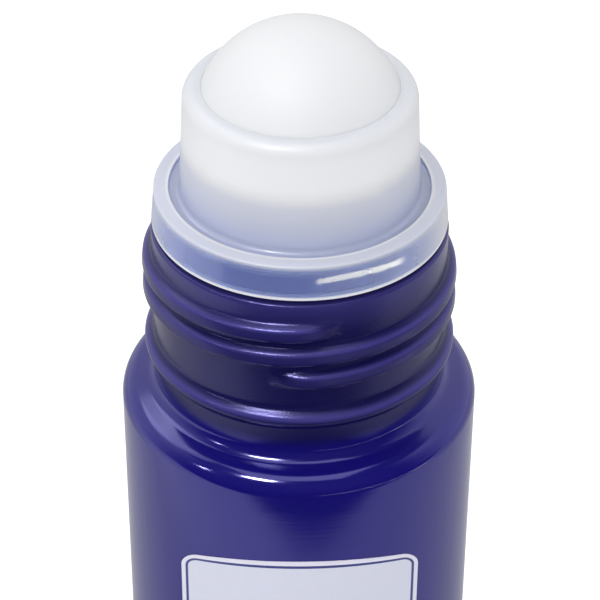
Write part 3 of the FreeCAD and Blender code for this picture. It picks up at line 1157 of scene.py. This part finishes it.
@dataclass(frozen=True)
class Softbox:
    """A rectangular lamp that looks at the neck of the bottle."""

    name: str
    azimuth: float
    elevation: float
    distance: float
    width: float
    height: float
    radiance: float
    sight: Sight = Sight.SURFACES

    def build(self, target: Vector) -> bpy.types.Object:
        """Hang the lamp.

        Args:
            target: The point that it looks at.

        Returns:
            The lamp.
        """
        lamp = bpy.data.lights.new(self.name, "AREA")
        lamp.shape = "RECTANGLE"
        lamp.size, lamp.size_y = self.width, self.height
        lamp.energy = WATTS_PER_RADIANCE * self.radiance * self.width * self.height
        piece = bpy.data.objects.new(self.name, lamp)
        away = towards(self.azimuth, self.elevation)
        piece.location = target + away * self.distance
        piece.rotation_euler = away.to_track_quat("Z", "Y").to_euler()
        self.sight.apply(piece)
        bpy.context.scene.collection.objects.link(piece)
        return piece


def sweep(first: Vector, second: Vector, middle: Vector, angle: float, steps: int) -> bmesh.types.BMesh:
    """Sweep a straight side about an upright axis.

    Args:
        first: One end of the side.
        second: Its other end.
        middle: A point of the axis.
        angle: The turn in degrees, from the front to the right.
        steps: Number of sides of the sweep.

    Returns:
        The swept mesh.
    """
    mesh = bmesh.new()
    ends = mesh.verts.new(first), mesh.verts.new(second)
    drawn = [*ends, mesh.edges.new(ends)]
    bmesh.ops.spin(mesh, geom=drawn, cent=middle, axis=UPRIGHT, angle=math.radians(angle), steps=steps)
    return mesh


def make_stage(mesh: bmesh.types.BMesh, name: str, material: bpy.types.Material, sight: Sight) -> None:
    """Add a thing of the studio, which isn't part of the object.

    Args:
        mesh: Its mesh. It is freed.
        name: Its name.
        material: Its material.
        sight: Which rays see it.
    """
    data = bpy.data.meshes.new(name)
    mesh.to_mesh(data)
    mesh.free()
    data.materials.append(material)
    thing = bpy.data.objects.new(name, data)
    bpy.context.scene.collection.objects.link(thing)
    sight.apply(thing)
    thing.visible_shadow = sight is Sight.ALL


@dataclass
class Studio:
    """A white table-top with a backdrop, a dark front, lamps and the camera."""

    floor_size: float = 6.0
    floor_drop: float = 0.02 * MM
    floor_colour: Colour = (0.56, 0.56, 0.57)
    floor_glow: float = 0.74
    floor_sheen: float = 0.36
    sheen_fall: float = 0.72
    sheen_edge: Span = (-72.0 * MM, -48.0 * MM)
    sheen_turn: float = -40.0
    table_edge: Span = (-83.0 * MM, -71.0 * MM)
    table_turn: float = 8.0
    wall_radius: float = 0.75
    wall_height: float = 0.98
    wall_from: float = 60.0
    wall_glow: float = 0.90
    wall_fade: Span = (-0.375, 0.25)
    wall_steps: int = 48
    ambient: float = 1.0
    dark_air: float = 0.04
    streak_middle: Point = (5.2 * MM, -25.3 * MM, 0.1 * MM)
    streak_radius: float = 163.0 * MM
    streak_width: float = 2.3 * MM
    streak_from: float = 8.0
    streak_to: float = 92.0
    streak_glow: float = 23.0
    streak_colour: Colour = (1.0, 0.97, 0.65)
    streak_steps: int = 84
    streak_start: Span = (30.0 * MM, 52.0 * MM)
    streak_end: Span = (-50.0 * MM, -15.0 * MM)
    target_height: float = 82.0 * MM
    camera_place: Point = (0.085 * MM, -242.03 * MM, 244.92 * MM)
    camera_pitch: float = 36.01
    camera_roll: float = 0.31
    camera_lens: float = 144.44
    camera_sensor: float = 36.0
    camera_near: float = 1.0 * MM

    def paper(self) -> bpy.types.Material:
        """Make white paper that takes the object's shadow, and that ends in front of it in reflections.

        Returns:
            The material.
        """
        material, nodes, place = new_material("white_paper")
        starts = nodes.spread(nodes.behind(place, self.table_turn), 0.0, 1.0, *self.table_edge)
        falls = nodes.spread(nodes.behind(place, self.sheen_turn), 1.0, self.sheen_fall, *self.sheen_edge)
        table = nodes.combine("MULTIPLY", starts, falls)
        mirrored = nodes.mirrored()
        lit = nodes.blend(mirrored, 1.0, table)
        matte = nodes.add("ShaderNodeBsdfDiffuse", {"Color": nodes.tint(lit, BLACK, self.floor_colour)})
        sheen = nodes.blend(mirrored, 0.0, nodes.blend(table, 0.0, self.floor_sheen))
        glow = nodes.blend(nodes.shown(), sheen, self.floor_glow)
        light = nodes.add("ShaderNodeEmission", {"Strength": glow})
        both = nodes.add("ShaderNodeAddShader", {0: matte.outputs["BSDF"], 1: light.outputs["Emission"]})
        nodes.add("ShaderNodeOutputMaterial", {"Surface": both.outputs["Shader"]})
        return material

    def build_floor(self) -> None:
        """Lay the floor."""
        floor = bmesh.new()
        place = Matrix.Translation((0.0, 0.0, -self.floor_drop))
        bmesh.ops.create_grid(floor, x_segments=1, y_segments=1, size=self.floor_size / 2, matrix=place)
        make_stage(floor, "floor", self.paper(), Sight.ALL)

    def build_wall(self) -> None:
        """Stand a round lit wall behind the object, which fades to its ends, for reflections only."""
        material, nodes, place = new_material("lit_wall")
        nodes.glow(nodes.spread(nodes.behind(place, 0.0), 0.0, self.wall_glow, *self.wall_fade))
        foot = towards(self.wall_from) * self.wall_radius
        top = foot + Vector(UPRIGHT) * self.wall_height
        wall = sweep(foot, top, Vector(), 360.0 - 2 * self.wall_from, self.wall_steps)
        make_stage(wall, "wall", material, Sight.REFLECTIONS)

    def build_streak(self) -> None:
        """Lay a thin bright arc on the table, which shows as a streak on the right of the skirt."""
        material, nodes, place = new_material("lit_strip")
        spot = nodes.add("ShaderNodeSeparateXYZ", {"Vector": place}).outputs
        starts = nodes.spread(spot["X"], 0.0, self.streak_glow, *self.streak_start)
        ends = nodes.spread(spot["Y"], 1.0, 0.0, *self.streak_end)
        nodes.glow(nodes.combine("MULTIPLY", starts, ends), self.streak_colour)
        middle, way = Vector(self.streak_middle), towards(self.streak_from)
        near = middle + way * self.streak_radius
        far = near + way * self.streak_width
        strip = sweep(near, far, middle, self.streak_to - self.streak_from, self.streak_steps)
        make_stage(strip, "streak", material, Sight.REFLECTIONS)

    def build_world(self) -> None:
        """Fill the air: soft light on surfaces, dark in reflections and white behind everything."""
        world = bpy.data.worlds.new("studio_air")
        bpy.context.scene.world = world
        world.use_nodes = True
        nodes = Nodes(world.node_tree)
        air = nodes.blend(nodes.mirrored(), self.ambient, self.dark_air)
        light = nodes.add("ShaderNodeBackground", {"Strength": nodes.blend(nodes.shown(), air, 1.0)})
        nodes.add("ShaderNodeOutputWorld", {"Surface": light.outputs["Background"]})

    def build_lamps(self) -> None:
        """Hang the lamps."""
        target = Vector((0.0, 0.0, self.target_height))
        lamps = (
            Softbox("top_light", azimuth=-75.0, elevation=60.0, distance=1.1,
                    width=1.0, height=1.0, radiance=0.66),
            Softbox("front_light", azimuth=14.0, elevation=29.0, distance=1.0,
                    width=0.8, height=0.8, radiance=0.83),
            Softbox("left_light", azimuth=-72.0, elevation=12.0, distance=1.0,
                    width=0.6, height=0.6, radiance=0.45),
            Softbox("key_glint", azimuth=-32.0, elevation=56.0, distance=0.7,
                    width=0.17, height=0.09, radiance=60.0, sight=Sight.REFLECTIONS),
            Softbox("small_glint", azimuth=-62.0, elevation=30.0, distance=0.8,
                    width=0.05, height=0.05, radiance=40.0, sight=Sight.REFLECTIONS),
            Softbox("top_gleam", azimuth=0.0, elevation=86.0, distance=1.0,
                    width=0.7, height=0.7, radiance=1.3, sight=Sight.REFLECTIONS),
            Softbox("wide_gleam", azimuth=-133.0, elevation=48.0, distance=0.9,
                    width=0.6, height=0.58, radiance=0.9, sight=Sight.REFLECTIONS),
            Softbox("back_gleam", azimuth=-133.0, elevation=48.0, distance=0.88,
                    width=0.36, height=0.34, radiance=0.7, sight=Sight.REFLECTIONS),
        )
        for lamp in lamps:
            lamp.build(target)

    def build_camera(self) -> None:
        """Place the camera at the photograph's viewpoint."""
        lens = bpy.data.cameras.new("camera")
        lens.lens = self.camera_lens
        lens.sensor_width = self.camera_sensor
        lens.clip_start = self.camera_near
        camera = bpy.data.objects.new("camera", lens)
        camera.location = self.camera_place
        tilt = Matrix.Rotation(math.radians(90.0 - self.camera_pitch), 3, "X")
        roll = Matrix.Rotation(math.radians(self.camera_roll), 3, "Z")
        camera.rotation_euler = (tilt @ roll).to_euler()
        bpy.context.scene.collection.objects.link(camera)
        bpy.context.scene.camera = camera

    def build(self) -> None:
        """Set the whole studio up."""
        bpy.context.scene.view_settings.view_transform = "Standard"
        self.build_camera()
        self.build_floor()
        self.build_wall()
        self.build_streak()
        self.build_world()
        self.build_lamps()


def main() -> None:
    """Build the studio and every piece."""
    logging.basicConfig(level=logging.INFO, format="%(message)s")
    Studio().build()
    bottle = Bottle()
    bottle.build(BottlePlastic())
    ball = RollerBall()
    ball.build(BallPlastic())
    BallHousing(ball, bottle).build(HousingPlastic())
    FrontLabel(bottle).build(BORDER_INK, LINE_INK, FIELD_INK)


if __name__ == "__main__":
    main()
